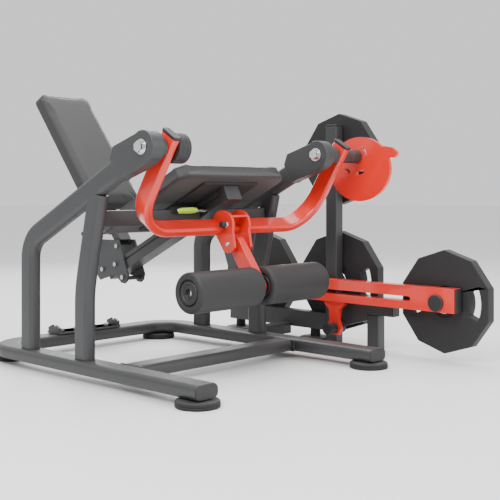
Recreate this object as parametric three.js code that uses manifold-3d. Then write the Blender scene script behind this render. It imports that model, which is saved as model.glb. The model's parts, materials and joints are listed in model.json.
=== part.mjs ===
// Plate-loaded seated leg extension. Millimetres, +Z up, the shins to -Y, the weights to +X.
import * as THREE from 'three';
import { mergeVertices } from 'three/addons/utils/BufferGeometryUtils.js';
import Module from 'manifold-3d';

const wasm = await Module();
wasm.setup();

// ---- driving dimensions -------------------------------------------------------------------
const GAP = 0.3;                    // clearance between touching pieces
const FOOT_R = 75;
const FOOT_H = 25;
const RAIL_X = 460;                 // centre line of each floor rail
const RAIL_W = 100;
const RAIL_H = 50;
const RAIL_BOTTOM = 28;
const RAIL_TOP = RAIL_BOTTOM + RAIL_H;
const RAIL_MID = RAIL_BOTTOM + RAIL_H / 2;
const RAIL_FRONT = -45;
const REAR_Y = 1195;                // centre line of the rear cross tube
const CORNER_R = 130;
const FRONT_CROSS_Y = 397;

const TUBE_W = 86;                  // side frame tube, in its own plane
const TUBE_T = 50;                  // side frame tube, across the machine
const FRAME_SLOPE = 26 * Math.PI / 180;
const KNEE_Y = 245;                 // knee axis
const KNEE_Z = 840;
const REAR_POST_Y = 948;
const FRONT_POST_Y = 598;
const FRAME_BEND_R = 110;
const CLEVIS_T = 56;
const CLEVIS_R = 58;
const CLEVIS_BACK = 175;

const CENTRE_X = 96;                // middle of the seat, yoke and rollers
const SEAT_W = 600;
const SEAT_L = 540;
const SEAT_T = 66;
const SEAT_FRONT_Y = 380;
const SEAT_FRONT_Z = 808;
const SEAT_CHAMFER = 36;
const BOARD_T = 9;
const BEAM_W = 80;
const BEAM_H = 60;
const BEAM_START = 60;
const BEAM_END = 880;

const BACK_W = 300;
const BACK_L = 672;
const BACK_T = 60;
const BACK_RECLINE = 39.5 * Math.PI / 180;
const BACK_FOOT_Y = 1092;           // lower front edge of the back pad
const BACK_FOOT_Z = 640;

const YOKE_HALF = 475;              // from the middle to each arm's centre line
const YOKE_DROP = 340;              // from the knee axis to the low run, in the yoke's plane
const YOKE_TILT = 32 * Math.PI / 180;
const YOKE_W = 75;
const YOKE_T = 34;
const YOKE_BEND_R = 150;
const YOKE_RISE = 48;

const ARM_PIVOT_Y = 365;            // roller arm pivot below the yoke
const ARM_PIVOT_Z = 487;
const ROLLER_Y = 260;
const ROLLER_Z = 327;
const ROLLER_R = 75;
const ROLLER_L = 340;
const ROLLER_GAP = 40;

const CAM_X = 708;
const CAM_T = 16;
const LEVER_X = 712;                // near face of the weight lever
const LEVER_W = 50;
const LEVER_H = 98;
const LEVER_Z = 255;
const LEVER_FRONT = -230;
const LEVER_REAR = 604;
const LEVER_PIVOT_Y = 560;
const HORN_Y = -147;
const HORN_Z = 243;
const LEVER_PLATE_R = 211;

const STORE_X = 815;                // centre line of the storage frame
const STORE_W = 50;
const STORE_D = 60;
const STORE_FRONT_Y = 452;
const STORE_REAR_Y = 1030;
const STORE_TOP = 985;
const STORE_RAIL_Z = 275;
const STORE_PLATE_R = 228;
const HORN_R = 24;
const PLATE_T = 46;

// ---- materials ------------------------------------------------------------------------------
const finish = (color, roughness, metalness) => () => {
  return new THREE.MeshStandardMaterial({ color, roughness, metalness });
};
const charcoal = finish(0x3a3b3c, 0.45, 0.3);
const red = finish(0xd5291a, 0.3, 0.2);
const vinyl = finish(0x2e2e2f, 0.7, 0);
const chrome = finish(0xd8d8d8, 0.15, 1);
const rubber = finish(0x242425, 0.8, 0);
const lime = finish(0xc3ef12, 0.4, 0);

// ---- solids ---------------------------------------------------------------------------------
const machine = new THREE.Group();

function place(name, geometry, material) {
  const mesh = new THREE.Mesh(geometry, material());
  mesh.name = name;
  machine.add(mesh);
  return mesh;
}

function toSolid(geometry) {
  const bare = geometry.index ? geometry.toNonIndexed() : geometry.clone();
  bare.deleteAttribute('normal');
  bare.deleteAttribute('uv');
  const merged = mergeVertices(bare, 1e-3);
  return new wasm.Manifold(new wasm.Mesh({
    numProp: 3,
    vertProperties: merged.attributes.position.array,
    triVerts: new Uint32Array(merged.index.array),
  }));
}

function toGeometry(solid) {
  const mesh = solid.getMesh();
  const geometry = new THREE.BufferGeometry();
  geometry.setAttribute('position', new THREE.BufferAttribute(mesh.vertProperties, 3));
  geometry.setIndex(new THREE.BufferAttribute(mesh.triVerts, 1));
  return geometry;
}

function join(...geometries) {
  return toGeometry(geometries.map(toSolid).reduce((a, b) => a.add(b)));
}

function cut(geometry, ...tools) {
  return toGeometry(tools.map(toSolid).reduce((a, b) => a.subtract(b), toSolid(geometry)));
}

function box(x0, x1, y0, y1, z0, z1) {
  const geometry = new THREE.BoxGeometry(x1 - x0, y1 - y0, z1 - z0);
  return geometry.translate((x0 + x1) / 2, (y0 + y1) / 2, (z0 + z1) / 2);
}

// A cylinder along X.
function rod(x0, x1, y, z, radius, sides = 18) {
  const geometry = new THREE.CylinderGeometry(radius, radius, x1 - x0, sides);
  return geometry.rotateZ(Math.PI / 2).translate((x0 + x1) / 2, y, z);
}

// An outline in Y and Z, given as [y, z] points or a Shape, extruded along X.
function slab(outline, x0, x1, curveSegments = 12) {
  const shape = outline instanceof THREE.Shape
    ? outline
    : new THREE.Shape(outline.map(([y, z]) => new THREE.Vector2(y, z)));
  const geometry = new THREE.ExtrudeGeometry(shape, {
    depth: x1 - x0, bevelEnabled: false, curveSegments,
  });
  const toWorld = new THREE.Matrix4().makeBasis(
    new THREE.Vector3(0, 1, 0), new THREE.Vector3(0, 0, 1), new THREE.Vector3(1, 0, 0));
  return geometry.applyMatrix4(toWorld).translate(x0, 0, 0);
}

function roundedSection(width, height, radius) {
  const w = width / 2;
  const h = height / 2;
  const shape = new THREE.Shape();
  shape.moveTo(-w + radius, -h);
  shape.lineTo(w - radius, -h);
  shape.absarc(w - radius, -h + radius, radius, -Math.PI / 2, 0);
  shape.lineTo(w, h - radius);
  shape.absarc(w - radius, h - radius, radius, 0, Math.PI / 2);
  shape.lineTo(-w + radius, h);
  shape.absarc(-w + radius, h - radius, radius, Math.PI / 2, Math.PI);
  shape.lineTo(-w, -h + radius);
  shape.absarc(-w + radius, -h + radius, radius, Math.PI, Math.PI * 1.5);
  return shape;
}

// A flat path of straight runs and round bends: corner points, each with its bend radius.
// Only the ends of a straight run and the steps of a bend become stations.
class BentPath extends THREE.Curve {
  constructor(corners, planeNormal, bendSteps = 5) {
    super();
    this.planeNormal = planeNormal;
    this.stations = [corners[0].at];
    this.headings = [];
    for (let i = 1; i < corners.length - 1; i += 1) {
      const { at, radius } = corners[i];
      const into = at.clone().sub(corners[i - 1].at).normalize();
      const out = corners[i + 1].at.clone().sub(at).normalize();
      const turn = into.angleTo(out);
      const reach = radius * Math.tan(turn / 2);
      const inward = out.clone().sub(into).normalize();
      const centre = at.clone().addScaledVector(inward, radius / Math.cos(turn / 2));
      const start = at.clone().addScaledVector(into, -reach).sub(centre);
      const sense = Math.sign(into.clone().cross(out).dot(planeNormal));
      for (let k = 0; k <= bendSteps; k += 1) {
        const spoke = start.clone().applyAxisAngle(planeNormal, sense * turn * k / bendSteps);
        this.stations.push(spoke.add(centre));
        this.headings.push(into.clone().applyAxisAngle(planeNormal, sense * turn * k / bendSteps));
      }
    }
    const last = corners.length - 1;
    this.stations.push(corners[last].at);
    const first = this.stations[1].clone().sub(this.stations[0]).normalize();
    const count = this.stations.length;
    const final = this.stations[count - 1].clone().sub(this.stations[count - 2]).normalize();
    this.headings = [first, ...this.headings, final];
  }

  get steps() {
    return this.stations.length - 1;
  }

  getPoint(t) {
    return this.stations[Math.round(t * this.steps)].clone();
  }

  getPointAt(u) {
    return this.getPoint(u);
  }

  computeFrenetFrames() {
    const binormals = this.headings.map(() => this.planeNormal.clone());
    const normals = this.headings.map((heading) => this.planeNormal.clone().cross(heading));
    return { tangents: this.headings, normals, binormals };
  }
}

// A tube whose section's first size lies in the plane of its path.
function bentTube(corners, planeNormal, width, thickness, radius, curveSegments = 2) {
  const path = new BentPath(corners, planeNormal);
  return new THREE.ExtrudeGeometry(roundedSection(width, thickness, radius), {
    steps: path.steps, extrudePath: path, bevelEnabled: false, curveSegments,
  });
}

const UP = new THREE.Vector3(0, 0, 1);
const ALONG_X = new THREE.Vector3(1, 0, 0);
const point = (x, y, z, radius = 0) => ({ at: new THREE.Vector3(x, y, z), radius });

// ---- base -----------------------------------------------------------------------------------
function floorRail(side, rearEnd) {
  return bentTube([
    point(side * RAIL_X, RAIL_FRONT, RAIL_MID),
    point(side * RAIL_X, REAR_Y, RAIL_MID, CORNER_R),
    point(rearEnd, REAR_Y, RAIL_MID),
  ], UP, RAIL_W, RAIL_H, 20);
}

function foot(x, y, top = RAIL_BOTTOM - GAP) {
  const profile = [
    [0, 0], [FOOT_R, 0], [FOOT_R - 2, FOOT_H], [22, FOOT_H + 2], [22, top], [0, top],
  ].map(([r, z]) => new THREE.Vector2(r, z));
  return new THREE.LatheGeometry(profile, 20).rotateX(Math.PI / 2).translate(x, y, 0);
}

const JOINT_X = -20;                // where the two halves of the base meet
place('base_near_rail', floorRail(-1, JOINT_X - GAP / 2), charcoal);
place('base_far_rail', floorRail(1, JOINT_X + GAP / 2), charcoal);

const crossEnd = RAIL_X - RAIL_W / 2 - GAP;
const crossTube = bentTube([
  point(-crossEnd + 8, FRONT_CROSS_Y, RAIL_MID),
  point(crossEnd - 8, FRONT_CROSS_Y, RAIL_MID),
], UP, RAIL_W, RAIL_H - 2, 20);
const crossFlange = (side) => box(
  side > 0 ? crossEnd - 9 : -crossEnd, side > 0 ? crossEnd : -crossEnd + 9,
  FRONT_CROSS_Y - 62, FRONT_CROSS_Y + 62, RAIL_BOTTOM + 2, RAIL_TOP - 2);
place('base_front_cross', join(crossTube, crossFlange(-1), crossFlange(1)), charcoal);

const rearFootX = RAIL_X - CORNER_R + CORNER_R * Math.cos(Math.PI / 3);
const rearFootY = REAR_Y - CORNER_R + CORNER_R * Math.sin(Math.PI / 3);
[['near', -1], ['far', 1]].forEach(([name, side]) => {
  place(`foot_front_${name}`, foot(side * RAIL_X, 0), rubber);
  place(`foot_rear_${name}`, foot(side * rearFootX, rearFootY), rubber);
});

// A saddle plate with two notched lugs bolts the two halves of the base together.
const SADDLE_HALF = 165;
const saddleTop = RAIL_TOP + GAP + 8;
const lug = (x) => slab([
  [REAR_Y - 40, saddleTop - 1], [REAR_Y + 40, saddleTop - 1], [REAR_Y + 40, saddleTop + 18],
  [REAR_Y + 12, saddleTop + 30], [REAR_Y + 8, saddleTop + 22], [REAR_Y - 8, saddleTop + 22],
  [REAR_Y - 12, saddleTop + 30], [REAR_Y - 40, saddleTop + 18],
], x - 6, x + 6);
function hexHead(radius, height) {
  return new THREE.CylinderGeometry(radius, radius, height, 6).rotateX(Math.PI / 2);
}

const saddleBolts = [-120, -45, 45, 120].map((dx) => (
  hexHead(13, 11).translate(JOINT_X + dx, REAR_Y, saddleTop + 5)));
place('rear_saddle_bracket', join(
  box(JOINT_X - SADDLE_HALF, JOINT_X + SADDLE_HALF, REAR_Y - 44, REAR_Y + 44,
    RAIL_TOP + GAP, saddleTop),
  lug(JOINT_X - SADDLE_HALF + 7), lug(JOINT_X + SADDLE_HALF - 7), ...saddleBolts,
), charcoal);

// ---- side frames ------------------------------------------------------------------------------
// Distances behind the knee axis along the frame's slope, and above it at right angles.
function onSlope(along, above) {
  return [
    KNEE_Y + along * Math.cos(FRAME_SLOPE) + above * Math.sin(FRAME_SLOPE),
    KNEE_Z - along * Math.sin(FRAME_SLOPE) + above * Math.cos(FRAME_SLOPE),
  ];
}

function rearTube(x, swell = 0) {
  const cornerZ = KNEE_Z - (REAR_POST_Y - KNEE_Y) * Math.tan(FRAME_SLOPE);
  const [endY, endZ] = onSlope(CLEVIS_BACK, 0);
  return bentTube([
    point(x, REAR_POST_Y, RAIL_TOP + GAP),
    point(x, REAR_POST_Y, cornerZ, FRAME_BEND_R),
    point(x, endY, endZ),
  ], ALONG_X, TUBE_W + swell, TUBE_T + swell, 22);
}

function frontPost(x) {
  const [topY, topZ] = onSlope(295, 0);
  const post = bentTube([
    point(x, FRONT_POST_Y, RAIL_TOP + GAP),
    point(x, FRONT_POST_Y, 330, 500),
    point(x, topY, topZ),
  ], ALONG_X, TUBE_W, TUBE_T, 22);
  return cut(post, rearTube(x, 2 * GAP));
}

// The end block: a nose around the knee axis that widens back to the tube.
function clevis(x) {
  const noseStart = 80 * Math.PI / 180;
  const noseEnd = 262 * Math.PI / 180;
  const outline = [[CLEVIS_BACK - GAP, -43], [CLEVIS_BACK - GAP, 43], [140, 76]];
  for (let k = 0; k <= 12; k += 1) {
    const angle = noseStart + (noseEnd - noseStart) * k / 12;
    outline.push([CLEVIS_R * Math.cos(angle), CLEVIS_R * Math.sin(angle)]);
  }
  outline.push([50, -58], [148, -43]);
  return slab(outline.map(([s, n]) => onSlope(s, n)), x - CLEVIS_T / 2, x + CLEVIS_T / 2);
}

function kneeBolt(faceX) {
  const washer = rod(faceX - GAP - 4, faceX - GAP, KNEE_Y, KNEE_Z, 27, 18);
  const head = rod(faceX - GAP - 20, faceX - GAP - 3, KNEE_Y, KNEE_Z, 20, 6);
  return join(washer, head);
}

[['near', -1], ['far', 1]].forEach(([name, side]) => {
  const x = side * RAIL_X;
  place(`${name}_rear_tube`, rearTube(x), charcoal);
  place(`${name}_front_post`, frontPost(x), charcoal);
  place(`${name}_clevis`, clevis(x), charcoal);
  place(`${name}_knee_bolt`, kneeBolt(x - CLEVIS_T / 2), chrome);
});

// ---- seat ---------------------------------------------------------------------------------------
// Distances back from the seat's front edge along its slope, and above its top.
function onSeat(along, above) {
  return [
    SEAT_FRONT_Y + along * Math.cos(FRAME_SLOPE) + above * Math.sin(FRAME_SLOPE),
    SEAT_FRONT_Z - along * Math.sin(FRAME_SLOPE) + above * Math.cos(FRAME_SLOPE),
  ];
}

// A flat outline in X and distance along the seat, with a thickness below the given level.
function seatSlab(outline, top, thickness) {
  const shape = new THREE.Shape(outline.map(([x, s]) => new THREE.Vector2(x, s)));
  const geometry = new THREE.ExtrudeGeometry(shape, { depth: thickness, bevelEnabled: false });
  const [y, z] = onSeat(0, top);
  return geometry.applyMatrix4(new THREE.Matrix4().makeRotationX(-FRAME_SLOPE))
    .translate(0, y - thickness * Math.sin(FRAME_SLOPE), z - thickness * Math.cos(FRAME_SLOPE));
}

const seatLeft = CENTRE_X - SEAT_W / 2;
const seatRight = CENTRE_X + SEAT_W / 2;
place('seat_pad', seatSlab([
  [seatLeft + SEAT_CHAMFER, 0], [seatRight - SEAT_CHAMFER, 0], [seatRight, SEAT_CHAMFER],
  [seatRight, SEAT_L], [seatLeft, SEAT_L], [seatLeft, SEAT_CHAMFER],
], 0, SEAT_T), vinyl);
const boardHalf = 150;
place('seat_board', seatSlab([
  [CENTRE_X - boardHalf, 50], [CENTRE_X + boardHalf, 50],
  [CENTRE_X + boardHalf, SEAT_L - 60], [CENTRE_X - boardHalf, SEAT_L - 60],
], -SEAT_T - GAP, BOARD_T), charcoal);

const beamTop = -SEAT_T - GAP - BOARD_T - GAP;
function seatBeam() {
  const beam = seatSlab([
    [CENTRE_X - BEAM_W / 2, BEAM_START], [CENTRE_X + BEAM_W / 2, BEAM_START],
    [CENTRE_X + BEAM_W / 2, BEAM_END], [CENTRE_X - BEAM_W / 2, BEAM_END],
  ], beamTop, BEAM_H);
  const groove = seatSlab([
    [CENTRE_X - BEAM_W / 2 - 1, BEAM_START + 40], [CENTRE_X - BEAM_W / 2 + 6, BEAM_START + 40],
    [CENTRE_X - BEAM_W / 2 + 6, BEAM_END + 1], [CENTRE_X - BEAM_W / 2 - 1, BEAM_END + 1],
  ], beamTop - 18, 6);
  return cut(beam, groove);
}
place('seat_beam', seatBeam(), charcoal);

const CROSS_Y = 553;
const CROSS_Z = 590;
const crossHalf = (x0, x1) => box(x0, x1, CROSS_Y - 25, CROSS_Y + 25, CROSS_Z - 30, CROSS_Z + 30);
place('seat_cross_near', crossHalf(-RAIL_X + TUBE_T / 2 + GAP, CENTRE_X - BEAM_W / 2 - GAP),
  charcoal);
place('seat_cross_far', crossHalf(CENTRE_X + BEAM_W / 2 + GAP, RAIL_X - TUBE_T / 2 - GAP),
  charcoal);

// The lime paddle hangs on a short spindle at the beam's near side.
const PADDLE_S = 190;
function paddle() {
  const [y, z] = onSeat(PADDLE_S, beamTop - 46);
  const root = CENTRE_X - BEAM_W / 2 - GAP;
  const shape = new THREE.Shape([
    [root - 55, -9], [root - 55, 9], [root - 85, 15], [root - 140, 12], [root - 152, 0],
    [root - 140, -12], [root - 85, -15],
  ].map(([x, s]) => new THREE.Vector2(x, s)));
  const blade = new THREE.ExtrudeGeometry(shape, { depth: 13, bevelEnabled: false });
  const turned = blade.translate(0, 0, -6.5).rotateX(-FRAME_SLOPE).translate(0, y, z);
  return join(turned, rod(root - 60, root, y, z, 7, 12));
}
place('seat_adjuster_paddle', paddle(), lime);

// ---- back rest ------------------------------------------------------------------------------------
// Distances up the back pad's front face, and behind it.
function onBack(up, behind) {
  return [
    BACK_FOOT_Y + up * Math.sin(BACK_RECLINE) + behind * Math.cos(BACK_RECLINE),
    BACK_FOOT_Z + up * Math.cos(BACK_RECLINE) - behind * Math.sin(BACK_RECLINE),
  ];
}

function backSlab(halfWidth, up0, up1, behind0, behind1, corner) {
  const shape = roundedSection(2 * halfWidth, up1 - up0, corner);
  const geometry = new THREE.ExtrudeGeometry(shape, {
    depth: behind1 - behind0, bevelEnabled: false, curveSegments: 3,
  });
  const [y, z] = onBack((up0 + up1) / 2, behind1);
  return geometry.rotateX(Math.PI / 2 - BACK_RECLINE).translate(CENTRE_X, y, z);
}
place('back_pad', backSlab(BACK_W / 2, 0, BACK_L, 0, BACK_T, 42), vinyl);
place('back_board', backSlab(BACK_W / 2 - 40, 60, BACK_L - 60, BACK_T + GAP, BACK_T + 10, 20),
  charcoal);

const PLATE_OUT = 49;               // carriage plates, from the middle to the outer face
function carriage() {
  const outline = [
    [1176, 478], [1045, 478], [1012, 410], [977, 329], [984, 303], [1000, 291], [1022, 293],
    [1052, 316], [1080, 322], [1140, 306], [1172, 296], [1198, 322],
  ];
  const near = slab(outline, CENTRE_X - PLATE_OUT, CENTRE_X - PLATE_OUT + 8);
  const far = slab(outline, CENTRE_X + PLATE_OUT - 8, CENTRE_X + PLATE_OUT);
  const upright = backSlab(30, -150, 430, BACK_T + 10 + GAP, BACK_T + 48, 6);
  const bars = [[1012, 312], [1080, 462]].map(([y, z]) => (
    rod(CENTRE_X - PLATE_OUT + 1, CENTRE_X + PLATE_OUT - 1, y, z, 9, 10)));
  const bolts = [[1050, 452], [1010, 318], [1150, 345], [1060, 372]].map(([y, z]) => (
    rod(CENTRE_X - PLATE_OUT - 9, CENTRE_X - PLATE_OUT + 1, y, z, 11, 6)));
  return join(near, far, upright, ...bars, ...bolts);
}
place('back_carriage', carriage(), charcoal);

const RELEASE_Y = 1108;
const RELEASE_Z = 508;
place('back_release_rod', rod(CENTRE_X - 195, CENTRE_X - 30 - GAP, RELEASE_Y, RELEASE_Z, 9, 16),
  rubber);

// ---- yoke -------------------------------------------------------------------------------------------
// Distances down from the knee axis in the yoke's plane, and out of that plane to the rear.
function onYoke(down, out) {
  return [
    KNEE_Y + down * Math.sin(YOKE_TILT) + out * Math.cos(YOKE_TILT),
    KNEE_Z - down * Math.cos(YOKE_TILT) + out * Math.sin(YOKE_TILT),
  ];
}
const yokeNormal = new THREE.Vector3(0, Math.cos(YOKE_TILT), Math.sin(YOKE_TILT));
const yokePoint = (x, down, radius) => point(x, ...onYoke(down, 0), radius);
const nearArmX = CENTRE_X - YOKE_HALF;
const farArmX = CENTRE_X + YOKE_HALF;

function yokeBar(swell = 0) {
  return bentTube([
    yokePoint(nearArmX, -YOKE_RISE),
    yokePoint(nearArmX, YOKE_DROP, YOKE_BEND_R),
    yokePoint(farArmX, YOKE_DROP, YOKE_BEND_R),
    yokePoint(farArmX, -YOKE_RISE),
  ], yokeNormal, YOKE_T + swell, YOKE_W + swell, 11);
}

function yokeCap(x) {
  const shape = roundedSection(YOKE_T, YOKE_W + 4, 11);
  const cap = new THREE.ExtrudeGeometry(shape, { depth: 14, bevelEnabled: false, curveSegments: 2 });
  const [y, z] = onYoke(-YOKE_RISE + 1, 0);
  return cap.rotateX(YOKE_TILT).translate(x, y, z);
}
place('yoke', join(yokeBar(), yokeCap(nearArmX), yokeCap(farArmX)), red);

const sleeve = (x0, x1, radius) => rod(x0 + GAP, x1 - GAP, KNEE_Y, KNEE_Z, radius, 20);
const armHalf = YOKE_T / 2;
place('near_pivot_sleeve', sleeve(-RAIL_X + CLEVIS_T / 2, nearArmX - armHalf, 34), charcoal);
place('far_pivot_sleeve', sleeve(RAIL_X + CLEVIS_T / 2, farArmX - armHalf, 34), charcoal);
place('near_pivot_housing', sleeve(nearArmX + armHalf, nearArmX + armHalf + 58, 54), rubber);
place('cam_drive_tube', sleeve(farArmX + armHalf, CAM_X, 29), charcoal);

function camOutline() {
  const shape = new THREE.Shape();
  const centreY = KNEE_Y - 13;
  const centreZ = KNEE_Z - 54;
  shape.absellipse(centreY, centreZ, 158, 138, 0, Math.PI * 2, false, 0);
  return shape;
}

// A curved slot around the knee axis, between two angles measured from the front, upwards.
function camSlot(radius, from, to, width) {
  const slot = new THREE.Shape();
  const a = Math.PI - from * Math.PI / 180;
  const b = Math.PI - to * Math.PI / 180;
  slot.absarc(KNEE_Y, KNEE_Z, radius + width / 2, a, b, true);
  slot.absarc(KNEE_Y, KNEE_Z, radius - width / 2, b, a, false);
  return slab(slot, CAM_X - 5, CAM_X + CAM_T + 5, 4);
}

function cam() {
  const disc = slab(camOutline(), CAM_X, CAM_X + CAM_T, 18);
  const tab = slab([
    [110, 836], [52, 830], [40, 842], [40, 856], [62, 874], [112, 882],
  ], CAM_X, CAM_X + CAM_T);
  return cut(join(disc, tab), camSlot(46, 2, 60, 12), camSlot(72, -92, -62, 14),
    camSlot(78, -142, -118, 16));
}
place('range_cam', cam(), red);

// ---- roller arm -----------------------------------------------------------------------------------
const CLEVIS_HALF = 52;             // from the middle to the outer face of each yoke plate
function yokeClevis() {
  const shape = new THREE.Shape();
  const headY = 397;
  const headZ = 560;
  const headR = 57;
  shape.absarc(headY, headZ, headR, -0.15, Math.PI + 0.35, false);
  shape.absarc(ARM_PIVOT_Y, ARM_PIVOT_Z, 36, Math.PI + 0.35, Math.PI * 2 - 0.5, false);
  const near = slab(shape, CENTRE_X - CLEVIS_HALF, CENTRE_X - CLEVIS_HALF + 13, 7);
  const far = slab(shape, CENTRE_X + CLEVIS_HALF - 13, CENTRE_X + CLEVIS_HALF, 7);
  const bridge = box(CENTRE_X - CLEVIS_HALF + 2, CENTRE_X + CLEVIS_HALF - 2, 352, 388, 590, 598);
  const pinHole = rod(CENTRE_X - 80, CENTRE_X + 80, ARM_PIVOT_Y, ARM_PIVOT_Z, 9.5, 12);
  const selectorHole = rod(CENTRE_X - 80, CENTRE_X - 20, 372, 562, 9.5, 12);
  return cut(join(near, far, bridge), yokeBar(2 * GAP), pinHole, selectorHole);
}
place('yoke_clevis', yokeClevis(), red);

const armPin = rod(CENTRE_X - CLEVIS_HALF - 6, CENTRE_X + CLEVIS_HALF + 6,
  ARM_PIVOT_Y, ARM_PIVOT_Z, 9.2, 12);
place('arm_pivot_pin', armPin, chrome);

// The pull pin locks the arm's angle and springs back by itself.
const selectorHead = join(
  rod(CENTRE_X - CLEVIS_HALF - 30, CENTRE_X - CLEVIS_HALF - 2, 372, 562, 14, 18),
  rod(CENTRE_X - CLEVIS_HALF - 3, CENTRE_X - CLEVIS_HALF + 14, 372, 562, 9.2, 12),
);
place('arm_selector_pin', selectorHead, rubber);

const ARM_HALF = 18;
function rollerArm() {
  const dy = ROLLER_Y - ARM_PIVOT_Y;
  const dz = ROLLER_Z - ARM_PIVOT_Z;
  const length = Math.hypot(dy, dz);
  const nose = new THREE.Shape();
  const angle = Math.atan2(dz, dy);
  nose.absarc(ARM_PIVOT_Y, ARM_PIVOT_Z, 29, angle + Math.PI / 2, angle + Math.PI * 1.5, false);
  nose.absarc(ARM_PIVOT_Y + dy / length * length, ARM_PIVOT_Z + dz / length * length, 36,
    angle - Math.PI / 2, angle + Math.PI / 2, false);
  const blade = slab(nose, CENTRE_X - ARM_HALF, CENTRE_X + ARM_HALF, 6);
  const pin = rod(CENTRE_X - 30, CENTRE_X + 30, ARM_PIVOT_Y, ARM_PIVOT_Z, 10.2, 12);
  const axle = rod(CENTRE_X - 30, CENTRE_X + 30, ROLLER_Y, ROLLER_Z, 16 + GAP, 20);
  return cut(blade, pin, axle);
}
place('roller_arm', rollerArm(), red);

const rollerEnd = ROLLER_GAP / 2 + ROLLER_L;
place('roller_axle', rod(CENTRE_X - rollerEnd + 16, CENTRE_X + rollerEnd - 16,
  ROLLER_Y, ROLLER_Z, 16, 20), chrome);

// Foam roller with a bore for the axle and a shallow recess in each end.
function roller(side) {
  const half = ROLLER_L / 2;
  const profile = [
    [16 + GAP, -half + 4], [50, -half + 4], [50, -half], [68, -half],
    [ROLLER_R, -half + 8], [ROLLER_R, half - 8], [68, half],
    [16 + GAP, half], [16 + GAP, -half + 4],
  ].map(([r, z]) => new THREE.Vector2(r, z));
  const middle = CENTRE_X + side * (ROLLER_GAP / 2 + half);
  return new THREE.LatheGeometry(profile, 18).rotateZ(side * Math.PI / 2)
    .translate(middle, ROLLER_Y, ROLLER_Z);
}

place('roller_near', roller(-1), vinyl);
place('roller_far', roller(1), vinyl);

// ---- weight lever -----------------------------------------------------------------------------------
const leverMid = LEVER_X + LEVER_W / 2;
function leverBar() {
  const half = LEVER_H / 2;
  const shape = new THREE.Shape();
  shape.moveTo(LEVER_FRONT, LEVER_Z - half);
  shape.lineTo(LEVER_REAR - 20, LEVER_Z - half);
  shape.absarc(LEVER_REAR - 20, LEVER_Z - half + 20, 20, -Math.PI / 2, 0, false);
  shape.absarc(LEVER_REAR - 20, LEVER_Z + half - 20, 20, 0, Math.PI / 2, false);
  shape.lineTo(LEVER_FRONT, LEVER_Z + half);
  const slot = new THREE.Shape();
  slot.absarc(-14, 250, 9, Math.PI / 2, Math.PI * 1.5, false);
  slot.absarc(440, 250, 9, -Math.PI / 2, Math.PI / 2, false);
  return cut(slab(shape, LEVER_X, LEVER_X + LEVER_W, 6), slab(slot, LEVER_X - 5, LEVER_X + 60, 6),
    rod(LEVER_X - 5, LEVER_X + 60, LEVER_PIVOT_Y, LEVER_Z, 18 + GAP, 18),
    rod(LEVER_X - 5, LEVER_X + 60, HORN_Y, HORN_Z, 14 + GAP, 18));
}
place('weight_lever', leverBar(), red);

// A head on the near face, a bolt through the lever, a collar and the horn that takes plates.
const HORN_FACE = LEVER_X + LEVER_W + GAP;
function leverHorn() {
  return join(
    rod(LEVER_X - GAP - 11, LEVER_X - GAP, HORN_Y, HORN_Z, 34, 20),
    rod(LEVER_X - 3, HORN_FACE + 3, HORN_Y, HORN_Z, 14, 18),
    rod(HORN_FACE, HORN_FACE + 8, HORN_Y, HORN_Z, 48, 20),
    rod(HORN_FACE + 4, HORN_FACE + 150, HORN_Y, HORN_Z, HORN_R, 18),
  );
}
place('lever_horn', leverHorn(), chrome);

// Ten-sided plate with a corner at the top, a bore and two grip slots.
function weightPlate(x, y, z, radius) {
  const corners = [];
  for (let k = 0; k < 10; k += 1) {
    const angle = Math.PI / 2 + k * Math.PI / 5;
    corners.push([y + radius * Math.cos(angle), z + radius * Math.sin(angle)]);
  }
  const body = slab(corners, x, x + PLATE_T);
  const bore = rod(x - 5, x + PLATE_T + 5, y, z, HORN_R + 1.2, 18);
  const dish = rod(x - 5, x + 8, y, z, radius * 0.3, 20);
  const grip = (side) => {
    const slot = new THREE.Shape();
    const r = radius * 0.68;
    const half = radius * 0.11;
    const start = side > 0 ? -0.4 : Math.PI - 0.4;
    slot.absarc(y, z, r + half, start, start + 0.8, false);
    slot.absarc(y, z, r - half, start + 0.8, start, true);
    return slab(slot, x - 5, x + PLATE_T + 5, 4);
  };
  return cut(body, bore, dish, grip(1), grip(-1));
}
place('lever_plate', weightPlate(HORN_FACE + 8 + GAP, HORN_Y, HORN_Z, LEVER_PLATE_R), rubber);

// Drop bracket under the lever, and the cross peg that it carries.
const PEG_Y = 385;
const PEG_Z = 88;
const PEG_R = 25;
const leverBottom = LEVER_Z - LEVER_H / 2;
function dropBracket() {
  const outline = [
    [PEG_Y - 55, leverBottom - GAP], [PEG_Y - 55, leverBottom - 14], [PEG_Y - 30, leverBottom - 34],
    [PEG_Y - 24, PEG_Z + 36], [PEG_Y - 38, PEG_Z], [PEG_Y - 24, PEG_Z - 30],
    [PEG_Y + 24, PEG_Z - 30], [PEG_Y + 38, PEG_Z], [PEG_Y + 24, PEG_Z + 36],
    [PEG_Y + 30, leverBottom - 34], [PEG_Y + 55, leverBottom - 14], [PEG_Y + 55, leverBottom - GAP],
  ];
  const plate = slab(outline, leverMid - 10, leverMid + 10);
  return join(plate, rod(LEVER_X - 34, LEVER_X + 72, PEG_Y, PEG_Z, PEG_R, 18));
}
place('lever_drop_bracket', dropBracket(), red);

// ---- storage frame -------------------------------------------------------------------------------
const storeInner = STORE_X - STORE_W / 2;
const storeOuter = STORE_X + STORE_W / 2;
const postFront = STORE_FRONT_Y - STORE_D / 2;
const postRear = STORE_FRONT_Y + STORE_D / 2;
const LOW_RAIL_BOTTOM = 62;
const LOW_RAIL_TOP = 138;
const STAND_Y = 222;
const BEAM_BOTTOM = 153;
const BEAM_TOP = 213;
const BEAM_FRONT_Y = 121;

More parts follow.
